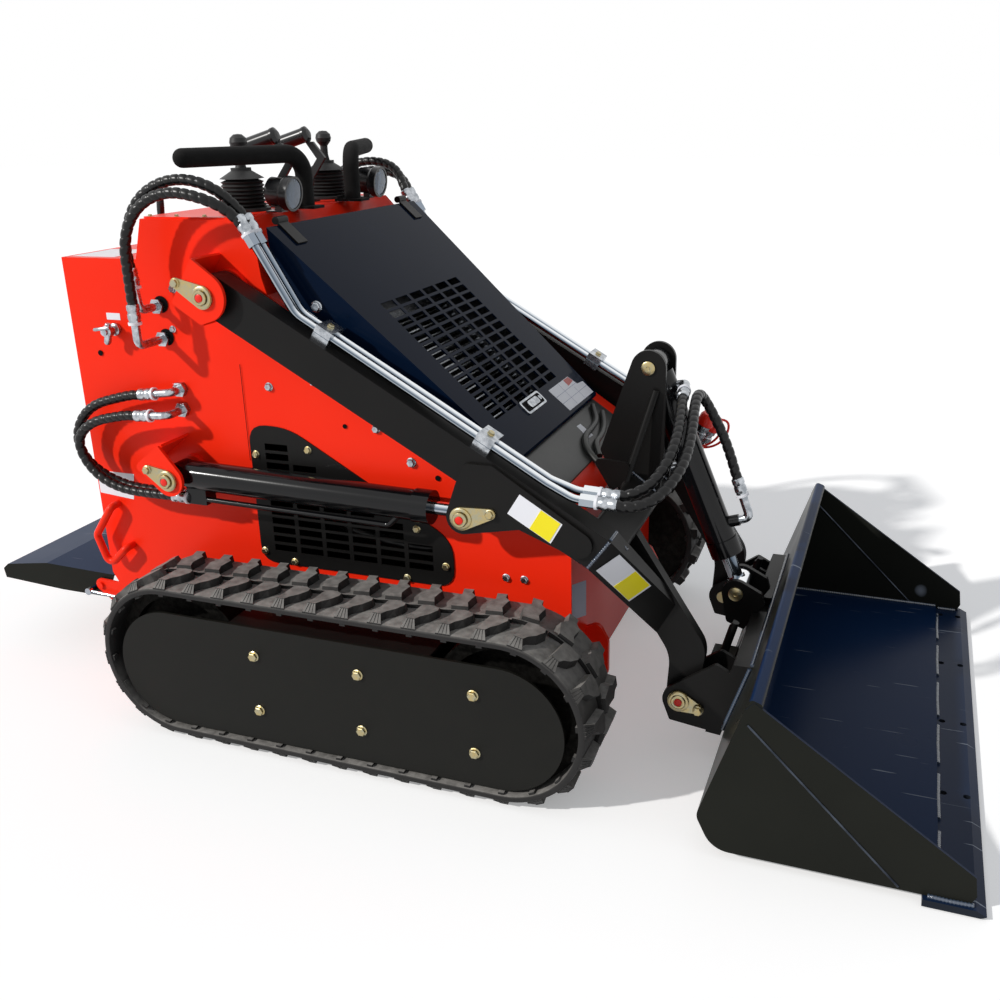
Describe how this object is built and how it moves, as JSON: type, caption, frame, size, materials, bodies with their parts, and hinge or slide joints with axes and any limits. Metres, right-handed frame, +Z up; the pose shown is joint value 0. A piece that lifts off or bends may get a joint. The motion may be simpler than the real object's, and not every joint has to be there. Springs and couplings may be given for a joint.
{
  "type": "mini track loader",
  "caption": "Stand-on tracked mini loader with twin lift arms, an earth bucket, an opening engine hood and a folding operator platform.",
  "frame": {"origin": "on the ground under the middle of the machine's overall box", "axes": "+X forward towards the bucket, +Y to the operator's left, +Z up"},
  "size_m": [2.3555, 1.21, 1.2745],
  "materials": {
    "red_paint": "gloss powder coat",
    "black_paint": "satin powder coat",
    "hood_paint": "gloss paint",
    "track_rubber": "dusty moulded rubber",
    "hose_rubber": "spiral wrapped hose",
    "plated_steel": "zinc plate",
    "chrome_rod": "polished hard chrome",
    "steel": "worn bare steel",
    "grey_paint": "satin grey paint",
    "cast": "rough casting",
    "foam": "foam grip",
    "knob": "moulded knob",
    "lamp": "black anodised housing"
  },
  "bodies": {
    "chassis": {"chassis_shell": "red_paint", "engine_block": "cast", "control_deck": "red_paint", "side_grilles": "black_paint", "front_flap": "grey_paint", "arm_brackets": "red_paint", "lift_clevises": "red_paint", "chassis_pins": "plated_steel", "tie_down_loops": "red_paint", "handlebars": "foam", "drive_levers": "knob", "joysticks": "knob", "work_lamps": "lamp", "side_ports": "chrome_rod", "track_right": "track_rubber", "track_left": "track_rubber", "drive_sprockets": "cast", "front_idlers": "cast", "track_rollers": "cast", "track_frames": "black_paint", "track_covers": "black_paint", "tower_hoses": "hose_rubber", "cylinder_hoses": "hose_rubber"},
    "hood": {"hood_panel": "hood_paint", "hood_hinges": "black_paint", "hood_latch": "chrome_rod"},
    "lift_arms": {"arm_right": "black_paint", "arm_left": "black_paint", "arm_pins": "plated_steel", "cross_member": "black_paint", "arm_tubes": "chrome_rod", "tilt_hoses": "hose_rubber"},
    "lift_barrel_right": {"lift_barrel_right": "black_paint"},
    "lift_barrel_left": {"lift_barrel_left": "black_paint"},
    "lift_rod_right": {"lift_rod_right": "chrome_rod"},
    "lift_rod_left": {"lift_rod_left": "chrome_rod"},
    "tilt_barrel": {"tilt_barrel": "black_paint"},
    "tilt_rod": {"tilt_rod": "chrome_rod"},
    "bucket": {"bucket": "black_paint", "cutting_edge": "steel", "quick_attach": "black_paint", "bucket_pins": "plated_steel"},
    "platform": {"platform": "black_paint"},
    "spring_barrel": {"gas_spring_barrel": "black_paint"},
    "spring_rod": {"gas_spring_rod": "chrome_rod"}
  },
  "joints": [
    {"name": "arm_lift", "type": "hinge", "parent": "chassis", "child": "lift_arms", "pos_m": [-0.369, 0, 0.958], "axis": [0, -1, 0], "range_deg": [0, 90], "deforming": ["tower_hoses", "cylinder_hoses"]},
    {"name": "lift_barrel_right_swing", "type": "hinge", "parent": "chassis", "child": "lift_barrel_right", "pos_m": [-0.519, -0.388, 0.555], "axis": [0, -1, 0], "range_deg": [0, 60.5]},
    {"name": "lift_rod_right_slide", "type": "slide", "parent": "lift_barrel_right", "child": "lift_rod_right", "axis": [0.9998, 0, -0.0217], "range_m": [0, 0.412]},
    {"name": "lift_barrel_left_swing", "type": "hinge", "parent": "chassis", "child": "lift_barrel_left", "pos_m": [-0.519, 0.388, 0.555], "axis": [0, -1, 0], "range_deg": [0, 60.5]},
    {"name": "lift_rod_left_slide", "type": "slide", "parent": "lift_barrel_left", "child": "lift_rod_left", "axis": [0.9998, 0, -0.0217], "range_m": [0, 0.412]},
    {"name": "bucket_tilt", "type": "hinge", "parent": "lift_arms", "child": "bucket", "pos_m": [0.591, 0, 0.139], "axis": [0, -1, 0], "range_deg": [-90, 20], "deforming": ["tilt_hoses"]},
    {"name": "tilt_barrel_swing", "type": "hinge", "parent": "lift_arms", "child": "tilt_barrel", "pos_m": [0.452, 0, 0.776], "axis": [0, -1, 0], "range_deg": [-0.6, 2]},
    {"name": "tilt_rod_slide", "type": "slide", "parent": "tilt_barrel", "child": "tilt_rod", "axis": [0.3867, 0, -0.9222], "range_m": [-0.046, 0.205]},
    {"name": "hood_open", "type": "hinge", "parent": "chassis", "child": "hood", "pos_m": [-0.274, 0, 1.095], "axis": [0, -1, 0], "range_deg": [0, 60]},
    {"name": "platform_fold", "type": "hinge", "parent": "chassis", "child": "platform", "pos_m": [-0.851, 0, 0.215], "axis": [0, 1, 0], "range_deg": [0, 88]},
    {"name": "spring_barrel_swing", "type": "hinge", "parent": "chassis", "child": "spring_barrel", "pos_m": [-0.589, -0.354, 0.185], "axis": [0, 1, 0], "range_deg": [-0.2, 8.92]},
    {"name": "spring_rod_slide", "type": "slide", "parent": "spring_barrel", "child": "spring_rod", "axis": [-0.9987, 0, 0.0517], "range_m": [-0.00754, 0.001]}
  ],
  "couplings": [
    {"joint": "lift_barrel_right_swing", "follows": "arm_lift", "ratio": 0.6687},
    {"joint": "lift_rod_right_slide", "follows": "arm_lift", "m_per_rad": 0.26145},
    {"joint": "lift_barrel_left_swing", "follows": "arm_lift", "ratio": 0.6687},
    {"joint": "lift_rod_left_slide", "follows": "arm_lift", "m_per_rad": 0.26145},
    {"joint": "tilt_barrel_swing", "follows": "bucket_tilt", "ratio": -0.01885},
    {"joint": "tilt_rod_slide", "follows": "bucket_tilt", "m_per_rad": -0.13008},
    {"joint": "spring_barrel_swing", "follows": "platform_fold", "ratio": 0.09907},
    {"joint": "spring_rod_slide", "follows": "platform_fold", "m_per_rad": -0.00426}
  ]
}
